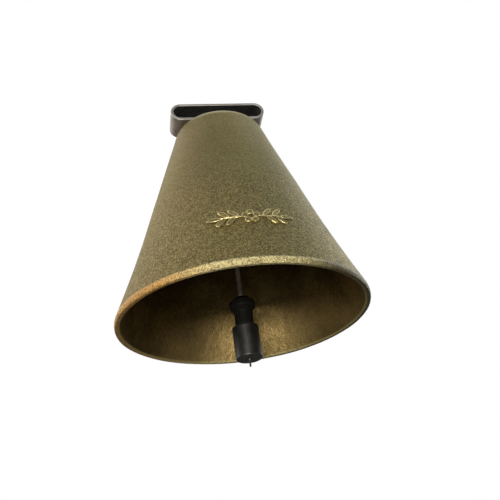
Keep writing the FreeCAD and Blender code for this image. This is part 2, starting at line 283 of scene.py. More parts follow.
def apply(piece, kind, **settings):
    """Add a modifier with these settings and apply it."""
    pick(piece)
    modifier = piece.modifiers.new(kind.title(), kind)
    for name, value in settings.items():
        setattr(modifier, name, value)
    bpy.ops.object.modifier_apply(modifier=modifier.name)


def cut(piece, cutter):
    """Cut one piece with another, which is then removed."""
    apply(piece, 'BOOLEAN', object=cutter, operation='DIFFERENCE', solver='EXACT')
    bpy.data.objects.remove(cutter, do_unlink=True)


def smooth(piece, limit=SMOOTH_ANGLE):
    """Shade smoothly over edges blunter than the limit, in degrees."""
    pick(piece)
    bpy.ops.object.shade_smooth_by_angle(angle=math.radians(limit))


def spaced(points, spacing):
    """The same outline, with points added so that no step is longer than the spacing."""
    filled = [points[0]]
    for start, end in zip(points, points[1:]):
        steps = max(1, math.ceil((end - start).length / spacing))
        filled += [start.lerp(end, step / steps) for step in range(1, steps + 1)]
    return filled


def rounded(points, radius, steps=4):
    """The same outline, with its corners rounded."""
    result = [points[0]]
    for before, corner, after in zip(points, points[1:], points[2:]):
        into, out = before - corner, after - corner
        start = corner + into.normalized() * min(radius, 0.45 * into.length)
        end = corner + out.normalized() * min(radius, 0.45 * out.length)
        for step in range(steps + 1):
            part = step / steps
            result.append(start.lerp(corner, part).lerp(corner.lerp(end, part), part))
    return result + [points[-1]]


def arc_through(start, middle, end, steps):
    """Points after the start on the arc through three points of an outline."""
    first, second = middle - start, end - start
    cross = 2 * first.cross(second)
    centre = start + Vector((
        (second.y * first.length_squared - first.y * second.length_squared) / cross,
        (first.x * second.length_squared - second.x * first.length_squared) / cross))
    spoke = start - centre
    turn = spoke.angle_signed(end - centre)
    return [centre + turned(spoke, turn * step / steps) for step in range(1, steps + 1)]


def turned(spoke, turn):
    """A flat vector turned clockwise by an angle, which is the way angle_signed counts."""
    return Vector((spoke.x * math.cos(turn) + spoke.y * math.sin(turn),
                   -spoke.x * math.sin(turn) + spoke.y * math.cos(turn)))


def on_circle(centre, radius, angle):
    """The point of a circle at an angle above the radius."""
    return centre + Vector((math.cos(angle), math.sin(angle))) * radius


def arc(centre, radius, start, end, steps):
    """Points along a circle from one angle to another, with both ends."""
    return [on_circle(centre, radius, start + (end - start) * step / steps)
            for step in range(steps + 1)]


def spun(name, outline, steps):
    """Draw an outline of (radius, height) points from one vertex and spin it about the axis."""
    deselect()
    bpy.ops.mesh.primitive_plane_add(size=MM)
    piece = named(name)
    edit(piece)
    bpy.ops.mesh.select_all(action='SELECT')
    bpy.ops.mesh.merge(type='CENTER')
    place = Vector((outline[0].x, 0, outline[0].y))
    bpy.ops.transform.translate(value=place)
    for corner in outline[1:]:
        target = Vector((corner.x, 0, corner.y))
        bpy.ops.mesh.extrude_vertices_move(TRANSFORM_OT_translate={"value": target - place})
        place = target
    bpy.ops.mesh.select_all(action='SELECT')
    bpy.ops.mesh.remove_doubles(threshold=1e-7)
    bpy.ops.mesh.spin(steps=steps, angle=2 * math.pi, center=(0, 0, 0), axis=(0, 0, 1))
    return close_up(piece, doubles=2e-6)


def spun_ring(name, inner, outer, bottom, top, edge):
    """A flat ring with soft edges."""
    middle = (inner + outer) / 2
    corners = [Vector(corner) for corner in (
        (middle, top), (outer, top), (outer, bottom), (inner, bottom), (inner, top), (middle, top))]
    return spun(name, spaced(rounded(corners, edge), 0.6 * MM), 72)


def mark_edges(piece):
    """Write how sharply the surface turns outwards to the attribute edge_wear_and_highlight."""
    mesh = piece.data
    normals = [face.normal.copy() for face in mesh.polygons]
    centres = [face.center.copy() for face in mesh.polygons]
    beside = {}
    for face in mesh.polygons:
        for key in face.edge_keys:
            beside.setdefault(key, []).append(face.index)
    sharp = [0.0] * len(mesh.vertices)
    for (start, end), faces in beside.items():
        if len(faces) != 2:
            continue
        first, second = faces
        turn = normals[first].angle(normals[second], 0.0)
        if (centres[second] - centres[first]).dot(normals[first]) < 0:
            for vertex in (start, end):
                sharp[vertex] = max(sharp[vertex], min(1.0, turn / FULL_EDGE_TURN))
    attribute = mesh.attributes.new("edge_wear_and_highlight", 'FLOAT', 'POINT')
    attribute.data.foreach_set("value", sharp)


def finish(piece, body, materials, nodes=()):
    """Give a piece its materials, its body and the nodes that it replaces."""
    while len(piece.data.materials) < len(materials):
        piece.data.materials.append(None)
    for index, material in enumerate(materials):
        piece.data.materials[index] = material
    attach(piece, body)
    if nodes:
        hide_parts(*nodes)


# Shader nodes ---------------------------------------------------------------------------

def add(tree, kind, column, row, settings=None, **inputs):
    """Add a node, set it up and fill its inputs with values or links.

    An input is named by its socket, with _ for a space, or i0, i1... for its number.
    """
    family = "Node" if kind in ("GroupInput", "GroupOutput") else "ShaderNode"
    made = tree.nodes.new(family + kind)
    made.location = (column * NODE_WIDTH, -row * NODE_HEIGHT)
    for name, value in (settings or {}).items():
        setattr(made, name, value)
    for name, value in inputs.items():
        numbered = name[0] == "i" and name[1:].isdigit()
        socket = made.inputs[int(name[1:]) if numbered else name.replace("_", " ")]
        if isinstance(value, bpy.types.NodeSocket):
            tree.links.new(value, socket)
        elif socket.type == 'RGBA' and len(value) == 3:
            socket.default_value = (*value, 1.0)
        else:
            socket.default_value = value
    return made


def maths(tree, operation, column, row, first, second=0.0, clamp=False):
    """A Math node's result."""
    made = add(tree, "Math", column, row, {"operation": operation, "use_clamp": clamp},
               i0=first, i1=second)
    return made.outputs[0]


def multiply_add(tree, column, row, value, factor, added):
    """A value times a factor, plus another value."""
    made = add(tree, "Math", column, row, {"operation": 'MULTIPLY_ADD'}, i0=value, i1=factor,
               i2=added)
    return made.outputs[0]


def scaled(tree, column, row, tone, factor):
    """A colour made lighter or darker by a factor."""
    made = add(tree, "VectorMath", column, row, {"operation": 'SCALE'}, i0=tone, Scale=factor)
    return made.outputs[0]


def blend_value(tree, column, row, amount, first, second):
    """A mix of two values."""
    made = add(tree, "Mix", column, row, {"data_type": 'FLOAT'}, i0=amount, i2=first, i3=second)
    return made.outputs[0]


def ramp(tree, column, row, value, low, high, to_low=0.0, to_high=1.0):
    """A value spread smoothly from one range to another."""
    made = add(tree, "MapRange", column, row, {"interpolation_type": 'SMOOTHSTEP'}, Value=value,
               From_Min=low, From_Max=high, To_Min=to_low, To_Max=to_high)
    return made.outputs["Result"]


def blend_colour(tree, column, row, amount, first, second):
    """A mix of two colours."""
    made = add(tree, "Mix", column, row, {"data_type": 'RGBA'}, i0=amount, i6=first, i7=second)
    return made.outputs[2]


def noise(tree, column, row, vector, scale, detail=2.0, roughness=0.5):
    """A noise texture's value."""
    made = add(tree, "TexNoise", column, row, None, Vector=vector, Scale=scale, Detail=detail,
               Roughness=roughness)
    return made.outputs[0]


def new_group(name, inputs, outputs):
    """An empty node group with named inputs and outputs."""
    tree = bpy.data.node_groups.new(name, 'ShaderNodeTree')
    for label, kind, default in inputs:
        socket = tree.interface.new_socket(name=label, in_out='INPUT',
                                           socket_type="NodeSocket" + kind)
        if default is not None:
            socket.default_value = default
    for label, kind in outputs:
        tree.interface.new_socket(name=label, in_out='OUTPUT', socket_type="NodeSocket" + kind)
    return tree, add(tree, "GroupInput", -1, 0), add(tree, "GroupOutput", 7, 0)


def sand_grain_group():
    """Fine cast grain: a height, and a mask of the grains that catch the light."""
    tree, given, result = new_group(
        "Sand grain",
        [("Vector", "Vector", None), ("Grain size", "Float", 0.0008),
         ("Coarseness", "Float", 0.35)],
        [("Height", "Float"), ("Glints", "Float")])
    scale = maths(tree, 'DIVIDE', 0, 0, 1.0, given.outputs["Grain size"])
    coarse_scale = maths(tree, 'MULTIPLY', 0, 1, scale, 0.38)
    fine = noise(tree, 1, 0, given.outputs["Vector"], scale, 2.0, 0.55)
    coarse = noise(tree, 1, 1, given.outputs["Vector"], coarse_scale, 1.0)
    height = blend_value(tree, 2, 0, given.outputs["Coarseness"], fine, coarse)
    cells = add(tree, "TexVoronoi", 1, 2, {"feature": 'F1'},
                Vector=given.outputs["Vector"], Scale=scale)
    peaks = ramp(tree, 2, 2, cells.outputs["Distance"], 0.42, 0.12)
    chosen = ramp(tree, 2, 3, fine, 0.50, 0.66)
    glints = maths(tree, 'MULTIPLY', 3, 2, peaks, chosen)
    tree.links.new(height, result.inputs["Height"])
    tree.links.new(glints, result.inputs["Glints"])
    return tree


def patches_group():
    """Soft patches, as of stain or patina."""
    tree, given, result = new_group(
        "Patches",
        [("Vector", "Vector", None), ("Patch size", "Float", 0.02), ("Edge", "Float", 0.12)],
        [("Mask", "Float")])
    scale = maths(tree, 'DIVIDE', 0, 0, 1.0, given.outputs["Patch size"])
    spots = noise(tree, 1, 0, given.outputs["Vector"], scale, 4.0, 0.6)
    low = maths(tree, 'SUBTRACT', 2, 1, 0.5, given.outputs["Edge"])
    high = maths(tree, 'ADD', 2, 2, 0.5, given.outputs["Edge"])
    tree.links.new(ramp(tree, 3, 0, spots, low, high), result.inputs["Mask"])
    return tree


def rubbed_edges_and_highlights_group():
    """Wear along edges, which also serves as a painted highlight, broken up by a noise."""
    tree, given, result = new_group(
        "Rubbed edges and highlights",
        [("Vector", "Vector", None), ("Edge", "Float", 0.0), ("Amount", "Float", 0.8),
         ("Break size", "Float", 0.002)],
        [("Mask", "Float")])
    scale = maths(tree, 'DIVIDE', 0, 0, 1.0, given.outputs["Break size"])
    breaks = ramp(tree, 2, 0, noise(tree, 1, 0, given.outputs["Vector"], scale, 3.0), 0.34, 0.62)
    edge = maths(tree, 'MULTIPLY', 2, 1, given.outputs["Edge"], given.outputs["Amount"])
    broken = maths(tree, 'MULTIPLY', 3, 0, edge, multiply_add(tree, 3, 1, breaks, 0.6, 0.5))
    solid = maths(tree, 'MULTIPLY', 3, 2, edge, 0.45)
    tree.links.new(maths(tree, 'ADD', 4, 0, broken, solid, clamp=True), result.inputs["Mask"])
    return tree


def drawn_lines_group():
    """Fine lines along one direction, as on drawn, brushed or scraped metal."""
    tree, given, result = new_group(
        "Drawn lines",
        [("Vector", "Vector", None), ("Stretch", "Vector", (1.0, 1.0, 1.0)),
         ("Turn", "Vector", (0.0, 0.0, 0.0)), ("Line width", "Float", 0.0005)],
        [("Height", "Float"), ("Mask", "Float")])
    mapping = add(tree, "Mapping", 0, 0, {"vector_type": 'POINT'}, Vector=given.outputs["Vector"],
                  Rotation=given.outputs["Turn"], Scale=given.outputs["Stretch"])
    scale = maths(tree, 'DIVIDE', 0, 2, 1.0, given.outputs["Line width"])
    lines = noise(tree, 1, 0, mapping.outputs[0], scale, 3.0, 0.6)
    tree.links.new(lines, result.inputs["Height"])
    tree.links.new(ramp(tree, 2, 1, lines, 0.52, 0.66), result.inputs["Mask"])
    return tree


GROUPS = {
    "Sand grain": sand_grain_group,
    "Patches": patches_group,
    "Rubbed edges and highlights": rubbed_edges_and_highlights_group,
    "Drawn lines": drawn_lines_group,
}


def shared(tree, name, column, row, **inputs):
    """Place a shared node group, which is built the first time that it is used."""
    group = bpy.data.node_groups.get(name) or GROUPS[name]()
    return add(tree, "Group", column, row, {"node_tree": group}, **inputs)


def new_material(name, metallic, roughness):
    """A material with a Principled shader, and the piece's own coordinates."""
    material = bpy.data.materials.new(name)
    material.use_nodes = True
    tree = material.node_tree
    shader = tree.nodes["Principled BSDF"]
    shader.location = (1900, 0)
    tree.nodes["Material Output"].location = (2250, 0)
    shader.inputs["Metallic"].default_value = metallic
    shader.inputs["Roughness"].default_value = roughness
    coordinates = add(tree, "TexCoord", -1, 0).outputs["Object"]
    return material, tree, shader, coordinates


def bump(tree, shader, column, row, height, distance, strength=1.0):
    """Feed a height to the shader's normal."""
    made = add(tree, "Bump", column, row, None, Height=height, Distance=distance, Strength=strength)
    tree.links.new(made.outputs[0], shader.inputs["Normal"])


def patina_colour(tree, colours, coordinates, across):
    """Olive bronze with browner patches, and browner still towards one side."""
    patches = shared(tree, "Patches", 1, 0, Vector=coordinates, Patch_size=0.022, Edge=0.16)
    side = ramp(tree, 1, 1, across, 0.030, -0.050, 0.0, 0.75)
    amount = maths(tree, 'MULTIPLY', 2, 0, patches.outputs[0], 0.55)
    both = maths(tree, 'ADD', 3, 0, amount, side, clamp=True)
    return blend_colour(tree, 4, 0, both, colours.olive, colours.brown)


def outer_bronze(colours):
    """Cast bronze under a thin patina, rubbed bright along the lip."""
    material, tree, shader, coordinates = new_material("Cast bronze outside", 0.86, 0.46)
    place = add(tree, "SeparateXYZ", 0, 1, None, Vector=coordinates)
    across, height = place.outputs["X"], place.outputs["Z"]
    grain = shared(tree, "Sand grain", 1, 3, Vector=coordinates, Grain_size=0.00060,
                   Coarseness=0.22)

    # The grain is coarse near the mouth and fades towards the crown.
    coarse_low = ramp(tree, 3, 2, height, LIP + 0.025, LIP + 0.085, 1.0, 0.30)
    shade = ramp(tree, 4, 2, grain.outputs["Height"], 0.38, 0.62, 0.47, 1.50)
    evened = blend_value(tree, 5, 3, coarse_low, 0.97, shade)
    mottled = scaled(tree, 5, 0, patina_colour(tree, colours, coordinates, across), evened)
    glints = maths(tree, 'MULTIPLY', 5, 2, grain.outputs["Glints"], coarse_low)
    grained = blend_colour(tree, 6, 0, glints, mottled, colours.pale)

    # Slanting streaks low on one side.
    lines = shared(tree, "Drawn lines", 1, 5, Vector=coordinates, Stretch=(1.0, 1.0, 0.07),
                   Turn=(0.0, math.radians(-38.0), 0.0), Line_width=0.0013)
    streak_side = ramp(tree, 2, 5, across, 0.012, 0.045)
    streak_low = ramp(tree, 2, 6, height, LIP + 0.050, LIP + 0.012)
    streak_place = maths(tree, 'MULTIPLY', 3, 5, streak_side, streak_low)
    placed = maths(tree, 'MULTIPLY', 3, 6, lines.outputs["Mask"], streak_place)
    streaks = maths(tree, 'MULTIPLY', 4, 5, placed, 0.42)
    streaked = blend_colour(tree, 7, 0, streaks, grained, colours.pale)

    # The lip is bare bronze at its edge and ends raggedly; its bright colour is partly real wear
    # and partly a painted highlight. It is redder on one side, and darker on the other as painted
    # shade.
    wobble = noise(tree, 1, 7, coordinates, 420.0, 3.0)
    ragged = multiply_add(tree, 2, 7, wobble, 0.0009, height)
    lip = ramp(tree, 3, 7, ragged, LIP + 0.0042, LIP + 0.0030)
    lip_grain = ramp(tree, 3, 8, grain.outputs["Height"], 0.38, 0.54, 0.62, 1.0)
    lip_mask = maths(tree, 'MULTIPLY', 4, 7, lip, lip_grain)
    reddish = ramp(tree, 4, 8, across, -0.014, -0.044)
    # Painted shade: the lip darkened towards one side.
    lip_side_shade = ramp(tree, 4, 9, across, 0.006, 0.036)
    # Painted highlight in part: the lip's bright bronze colour.
    lip_colour = blend_colour(tree, 5, 8, reddish, colours.worn_and_highlight, colours.copper)
    lip_colour = blend_colour(tree, 6, 8, lip_side_shade, lip_colour, colours.dull_shaded_lip)
    lip_shade = ramp(tree, 6, 9, grain.outputs["Height"], 0.40, 0.60, 0.66, 1.14)
    final = blend_colour(tree, 8, 0, lip_mask, streaked, scaled(tree, 7, 8, lip_colour, lip_shade))

    rough_noise = ramp(tree, 7, 3, grain.outputs["Height"], 0.3, 0.7, 0.54, 0.44)
    tree.links.new(final, shader.inputs["Base Color"])
    tree.links.new(multiply_add(tree, 8, 2, lip_mask, -0.14, rough_noise),
                   shader.inputs["Roughness"])
    tree.links.new(ramp(tree, 8, 1, lip_mask, 0.0, 1.0, 0.86, 0.42), shader.inputs["Metallic"])
    bump(tree, shader, 8, 4, grain.outputs["Height"], 0.0009, coarse_low)
    return material


def inner_bronze(colours):
    """The golden, sandy inside of the casting, with stain in patches and painted shade darkening it
    towards the crown and towards both sides.
    """
    material, tree, shader, coordinates = new_material("Cast bronze inside", 0.88, 0.46)
    place = add(tree, "SeparateXYZ", 0, 1, None, Vector=coordinates)
    across, height = place.outputs["X"], place.outputs["Z"]
    grain = shared(tree, "Sand grain", 1, 3, Vector=coordinates, Grain_size=0.0008,
                   Coarseness=0.35)
    lines = shared(tree, "Drawn lines", 1, 5, Vector=coordinates, Stretch=(1.0, 1.0, 0.3),
                   Turn=(math.radians(18.0), 0.0, 0.0), Line_width=0.0009)
    texture = blend_value(tree, 3, 3, 0.28, grain.outputs["Height"], lines.outputs["Height"])

    # Stained in patches, which is real, and darker towards the crown and towards both sides, which
    # is painted shade.
    patches = shared(tree, "Patches", 1, 0, Vector=coordinates, Patch_size=0.026, Edge=0.18)
    # Painted shade: darker deeper inside, towards the crown.
    depth = ramp(tree, 1, 1, height, LIP + 0.004, LIP + 0.060)
    stain = maths(tree, 'MULTIPLY', 2, 0, patches.outputs[0], 0.40)
    # Painted shade: darker towards both sides of the inside.
    left = ramp(tree, 1, 7, across, 0.000, -0.046, 0.0, 0.60)
    right = ramp(tree, 1, 8, across, 0.030, 0.056, 0.0, 0.35)
    sides = maths(tree, 'ADD', 2, 7, left, right)
    stain_and_shade = maths(tree, 'ADD', 3, 0, maths(tree, 'ADD', 2, 1, stain, depth), sides, clamp=True)
    base = blend_colour(tree, 4, 0, stain_and_shade, colours.inside, colours.inside_stain_and_shade)
    mottled = scaled(tree, 5, 0, base, ramp(tree, 4, 2, texture, 0.38, 0.62, 0.80, 1.22))

    # A thin pale line where the inside meets the lip.
    rim = ramp(tree, 4, 5, height, LIP + 0.0013, LIP + 0.0004)
    final = blend_colour(tree, 6, 0, rim, mottled, colours.pale)
    tree.links.new(final, shader.inputs["Base Color"])
    tree.links.new(ramp(tree, 6, 2, texture, 0.3, 0.7, 0.56, 0.40), shader.inputs["Roughness"])
    bump(tree, shader, 6, 4, texture, 0.0003)
    return material


def edge_wear_and_highlight(tree, coordinates, row, amount, break_size):
    """A mask of edges that wear, also used as painted edge highlights, from the piece's own
    attribute.
    """
    edge = add(tree, "Attribute", 0, row, {"attribute_name": "edge_wear_and_highlight"}).outputs["Fac"]
    return shared(tree, "Rubbed edges and highlights", 1, row, Vector=coordinates, Edge=edge, Amount=amount,
                  Break_size=break_size).outputs[0]


def raised_bronze(colours):
    """The casting's finish on the sprig, bright on its high places: partly real wear, partly a
    painted highlight on its edges.
    """
    material, tree, shader, coordinates = new_material("Cast bronze relief", 0.88, 0.40)
    place = add(tree, "SeparateXYZ", 0, 1, None, Vector=coordinates)
    grain = shared(tree, "Sand grain", 1, 3, Vector=coordinates, Grain_size=0.00085,
                   Coarseness=0.3)
    patina = patina_colour(tree, colours, coordinates, place.outputs["X"])
    # Painted highlight in part: the sprig's raised edges lightened to bright bronze.
    rubbed_and_highlight = edge_wear_and_highlight(tree, coordinates, 5, 1.6, 0.0016)
    final = blend_colour(tree, 5, 0, rubbed_and_highlight, patina, colours.worn_and_highlight)
    tree.links.new(final, shader.inputs["Base Color"])
    tree.links.new(ramp(tree, 5, 3, rubbed_and_highlight, 0.0, 1.0, 0.46, 0.30), shader.inputs["Roughness"])
    bump(tree, shader, 5, 5, grain.outputs["Height"], 0.0002)
    return material


def steel(name, colours, base, line_stretch, wear, roughness, metallic=0.9):
    """Steel with drawn lines and stains, edges lightened by wear and by a painted highlight, and
    painted shade darkening it below the striker.
    """
    material, tree, shader, coordinates = new_material(name, metallic, roughness)
    lines = shared(tree, "Drawn lines", 1, 2, Vector=coordinates, Stretch=line_stretch,
                   Line_width=0.0004).outputs["Height"]
    patches = shared(tree, "Patches", 1, 0, Vector=coordinates, Patch_size=0.006, Edge=0.2)
    # Edges lightened to bare steel: partly wear, partly a painted highlight.
    rubbed_and_highlight = edge_wear_and_highlight(tree, coordinates, 4, wear, 0.003)
    shade = ramp(tree, 2, 0, patches.outputs[0], 0.0, 1.0, 0.72, 1.15)
    lined = ramp(tree, 2, 2, lines, 0.35, 0.65, 0.82, 1.18)
    height = add(tree, "SeparateXYZ", 0, 6, None, Vector=coordinates).outputs["Z"]
    # Painted shade: the wire's tip below the striker is darkened almost to black.
    painted_tip_shade = ramp(tree, 1, 6, height, SLEEVE_LOW.z - 0.0004, SLEEVE_LOW.z + 0.0004, 0.06, 1.0)
    tone = maths(tree, 'MULTIPLY', 3, 0, maths(tree, 'MULTIPLY', 2, 1, shade, lined), painted_tip_shade)
    bare_and_highlight = maths(tree, 'MULTIPLY', 3, 4, rubbed_and_highlight, painted_tip_shade)
    final = blend_colour(tree, 5, 0, bare_and_highlight, scaled(tree, 4, 0, base, tone), colours.bare_steel_and_highlight)
    tree.links.new(final, shader.inputs["Base Color"])
    rough = ramp(tree, 5, 2, lines, 0.3, 0.7, roughness + 0.08, roughness - 0.08)
    tree.links.new(rough, shader.inputs["Roughness"])
    tree.links.new(maths(tree, 'MULTIPLY', 5, 5, painted_tip_shade, metallic), shader.inputs["Metallic"])
    bump(tree, shader, 5, 4, lines, 0.00006)
    return material


def band_inside_shade(colours):
    """Painted shade: the inside of the strap loop made near-black, where the same steel as outside
    lies in shadow.
    """
    material, tree, shader, coordinates = new_material("Band inside shade", 0.3, 0.6)
    patches = shared(tree, "Patches", 1, 0, Vector=coordinates, Patch_size=0.005, Edge=0.2)
    lines = shared(tree, "Drawn lines", 1, 2, Vector=coordinates, Stretch=(0.1, 1.0, 1.0),
                   Line_width=0.0005)
    mark = maths(tree, 'MULTIPLY', 2, 1, lines.outputs["Mask"], 0.10)
    shade = ramp(tree, 2, 0, patches.outputs[0], 0.0, 1.0, 0.7, 1.3)
    # Painted shade: near-black stands in for the shadow inside the loop.
    shade_tone = scaled(tree, 3, 0, colours.loop_shade, shade)
    final = blend_colour(tree, 4, 0, mark, shade_tone, colours.steel)
    tree.links.new(final, shader.inputs["Base Color"])
    bump(tree, shader, 4, 3, lines.outputs["Height"], 0.00008)
    return material


def moulded_plastic(name, colours, roughness, gloss):
    """Black plastic, finely textured, scuffed on its edges."""
    material, tree, shader, coordinates = new_material(name, 0.0, roughness)
    shader.inputs["Specular IOR Level"].default_value = gloss
    grain = shared(tree, "Sand grain", 1, 2, Vector=coordinates, Grain_size=0.0004,
                   Coarseness=0.2)
    patches = shared(tree, "Patches", 1, 0, Vector=coordinates, Patch_size=0.005,
                     Edge=0.22).outputs[0]
    scuffs = maths(tree, 'MULTIPLY', 2, 4, edge_wear_and_highlight(tree, coordinates, 4, 0.5, 0.0012), 0.06)
    base = scaled(tree, 3, 0, colours.plastic, ramp(tree, 2, 0, patches, 0.0, 1.0, 0.85, 1.35))
    final = blend_colour(tree, 4, 0, scuffs, base, colours.wire)
    tree.links.new(final, shader.inputs["Base Color"])
    rough = ramp(tree, 4, 2, patches, 0.0, 1.0, roughness - 0.04, roughness + 0.08)
    tree.links.new(rough, shader.inputs["Roughness"])
    bump(tree, shader, 4, 4, grain.outputs["Height"], 0.00005)
    return material


def pale_floor(colours):
    """A plain pale floor that throws only a little light back under the bell."""
    material, tree, shader, coordinates = new_material("Pale floor", 0.0, 0.7)
    patches = shared(tree, "Patches", 1, 0, Vector=coordinates, Patch_size=0.4, Edge=0.3)
    shade = ramp(tree, 2, 0, patches.outputs[0], 0.0, 1.0, 0.98, 1.0)
    tone = scaled(tree, 3, 0, colours.floor, shade)
    seen = add(tree, "LightPath", 2, 2).outputs["Is Camera Ray"]
    final = blend_colour(tree, 4, 0, seen, colours.floor_bounce, tone)
    glow = blend_colour(tree, 4, 2, seen, (0.0, 0.0, 0.0), colours.floor)
    tree.links.new(final, shader.inputs["Base Color"])
    tree.links.new(glow, shader.inputs["Emission Color"])
    shader.inputs["Emission Strength"].default_value = 0.90
    return material


MATERIALS = {
    "Cast bronze outside": outer_bronze,
    "Cast bronze inside": inner_bronze,
    "Cast bronze relief": raised_bronze,
    "Band steel": lambda c: steel("Band steel", c, c.steel, (0.06, 1.0, 1.0), 0.8, 0.44, 0.62),
    "Band inside shade": band_inside_shade,
    "Fastener steel": lambda c: steel("Fastener steel", c, c.wire, (1.0, 1.0, 1.0), 0.6, 0.42),
    "Drawn wire": lambda c: steel("Drawn wire", c, c.wire, (1.0, 1.0, 0.05), 0.4, 0.45, 0.3),
    "Satin black": lambda c: moulded_plastic("Satin black", c, 0.40, 0.90),
    "Matt black": lambda c: moulded_plastic("Matt black", c, 0.50, 0.05),
    "Pale floor": pale_floor,
}


def material_for(name, context):
    """A material by name, made the first time that it is asked for."""
    return bpy.data.materials.get(name) or MATERIALS[name](context.scene.cowbell_finishes)


# Outlines of the casting ----------------------------------------------------------------

def cone_radius(sizes, height, offset=0.0):
    """Radius of the straight cone, or of a surface parallel to it."""
    straight = sizes.flare_top_radius - (height - sizes.flare_top) * math.tan(sizes.cone_angle)
    return straight + offset / math.cos(sizes.cone_angle)


def flare_points(sizes, offset, low_radius, low_height, steps):
    """The hollow flare between the lip and the straight cone, going up."""
    top_radius = cone_radius(sizes, sizes.flare_top, offset)
    start = Vector((low_radius, low_height))
    middle = Vector(((low_radius + top_radius) / 2 - sizes.flare_hollow,
                     (low_height + sizes.flare_top) / 2))
    return [start] + arc_through(start, middle, Vector((top_radius, sizes.flare_top)), steps)


def inner_outline(sizes):
    """The inside of the casting, from the middle of the ceiling down to the lip."""
    fillet = sizes.shoulder_radius - sizes.wall
    height = sizes.crown_inside - fillet
    radius = cone_radius(sizes, height, -sizes.wall - fillet)
    centre = Vector((radius, height))
    corner = arc(centre, fillet, math.radians(90), sizes.cone_angle, 8)
    wall = [corner[-1], Vector((cone_radius(sizes, sizes.flare_top, -sizes.wall), sizes.flare_top))]
    flare = flare_points(sizes, -sizes.wall, sizes.lip_inner_radius, 0.0, 32)
    ceiling = spaced([Vector((0.0, sizes.crown_inside)), corner[0]], CEILING_SPACING)
    return ceiling + corner[1:] + spaced(wall, WALL_SPACING)[1:] + flare[-2::-1]


def outer_outline(sizes):
    """The outside of the casting, from the lip up to the top of the crown."""
    round_centre = Vector((sizes.mouth_radius - sizes.lip_round, sizes.lip_round_height))
    start = -math.asin(sizes.lip_round_height / sizes.lip_round)
    lip = arc(round_centre, sizes.lip_round, start, sizes.lip_angle, 9)
    flare = flare_points(sizes, 0.0, lip[-1].x, lip[-1].y, 34)
    shoulder_foot = Vector((cone_radius(sizes, sizes.shoulder_start), sizes.shoulder_start))
    centre = shoulder_foot - on_circle(Vector((0.0, 0.0)), sizes.shoulder_radius, sizes.cone_angle)
    shoulder = arc(centre, sizes.shoulder_radius, sizes.cone_angle, sizes.shoulder_end, 8)
    crown_radius = shoulder[-1].x / math.cos(sizes.shoulder_end)
    crown_centre = Vector((0.0, shoulder[-1].y - crown_radius * math.sin(sizes.shoulder_end)))
    crown = arc(crown_centre, crown_radius, sizes.shoulder_end, math.pi / 2, 15)
    crown[-1].x = 0.0
    cone = spaced([flare[-1], shoulder_foot], WALL_SPACING)
    return lip + flare[1:] + cone[1:] + shoulder[1:] + crown[1:]


# Operators ------------------------------------------------------------------------------

class COWBELL_OT_casting(Operator):
    """Spin the bell's casting, roughen it and cut the loop's seat and the pin's bore"""
    bl_idname = "cowbell.casting"
    bl_label = "Bell casting"

    def execute(self, context):
        sizes = context.scene.cowbell_casting
        inside, outside = inner_outline(sizes), outer_outline(sizes)
        edge = rounded([inside[-2], inside[-1], outside[0], outside[1]], LIP_EDGE_ROUND, 3)
        outline = [Vector((corner.x, corner.y + LIP))
                   for corner in inside[:-1] + edge[1:-1] + outside[1:]]
        piece = spun("bell_casting", outline, sizes.turns)
        self.sort_faces(piece, sizes)
        self.roughen(piece, sizes)
        self.cut_seat(piece, sizes)
        smooth(piece, 40.0)
        finish(piece, "bell",
               [material_for("Cast bronze outside", context),
                material_for("Cast bronze inside", context)], ["bell_shell"])
        return {'FINISHED'}

    def sort_faces(self, piece, sizes):
        """Give the inside its own material slot, and each side a vertex group."""
        for name in ("outside", "inside"):
            piece.vertex_groups.new(name=name)
            piece.data.materials.append(None)
        middle_ceiling = (sizes.crown_inside + SHELL_HIGH.z - LIP) / 2
        for face in piece.data.polygons:
            face.material_index = 1 if self.is_inside(face.center, sizes, middle_ceiling) else 0
        sides = {0: set(), 1: set()}
        for face in piece.data.polygons:
            sides[face.material_index].update(face.vertices)
        piece.vertex_groups["outside"].add(list(sides[0] - sides[1]), 1.0, 'REPLACE')
        piece.vertex_groups["inside"].add(list(sides[1] - sides[0]), 1.0, 'REPLACE')

    def is_inside(self, centre, sizes, middle_ceiling):
        """True for a place nearer to the casting's inside than to its outside."""
        height = centre.z - LIP
        radius = math.hypot(centre.x, centre.y)
        if height < 0.05 * MM:
            return False
        if height < sizes.flare_top:
            low = sizes.mouth_radius - sizes.wall / 2
            high = cone_radius(sizes, sizes.flare_top, -sizes.wall / 2)
            return radius < low + (high - low) * height / sizes.flare_top - sizes.flare_hollow
        if height < middle_ceiling:
            return radius < cone_radius(sizes, height, -sizes.wall / 2)
        return False

    def roughen(self, piece, sizes):
        """Uneven cast walls, with a fine grain outside and a coarser one inside."""
        for name, size, depth, group in (
                ("Waviness", 24.0 * MM, sizes.waviness, ""),
                ("Outer grain", 1.9 * MM, sizes.outer_grain, "outside"),
                ("Inner grain", 2.8 * MM, sizes.inner_grain, "inside")):
            texture = bpy.data.textures.new(name, 'CLOUDS')
            texture.noise_scale = size
            texture.noise_depth = 1
            apply(piece, 'DISPLACE', texture=texture, texture_coords='LOCAL', strength=depth,
                  mid_level=0.5, vertex_group=group)

    def cut_seat(self, piece, sizes):
        """Let the loop into the crown and bore the crown for the pin."""
        deselect()
        height = 12.0 * MM
        size = (LOOP_HIGH.x - LOOP_LOW.x, LOOP_HIGH.y - LOOP_LOW.y + 2 * sizes.seat_gap, height)
        bpy.ops.mesh.primitive_cube_add(size=1.0, scale=size,
                                        location=(0, 0, LOOP_LOW.z + height / 2))
        cut(piece, named("seat_cutter"))
        deselect()
        bpy.ops.mesh.primitive_cylinder_add(vertices=CUTTER_STEPS, radius=sizes.bore_radius,
                                            depth=20.0 * MM, location=(0, 0, LOOP_LOW.z))
        cut(piece, named("bore_cutter"))


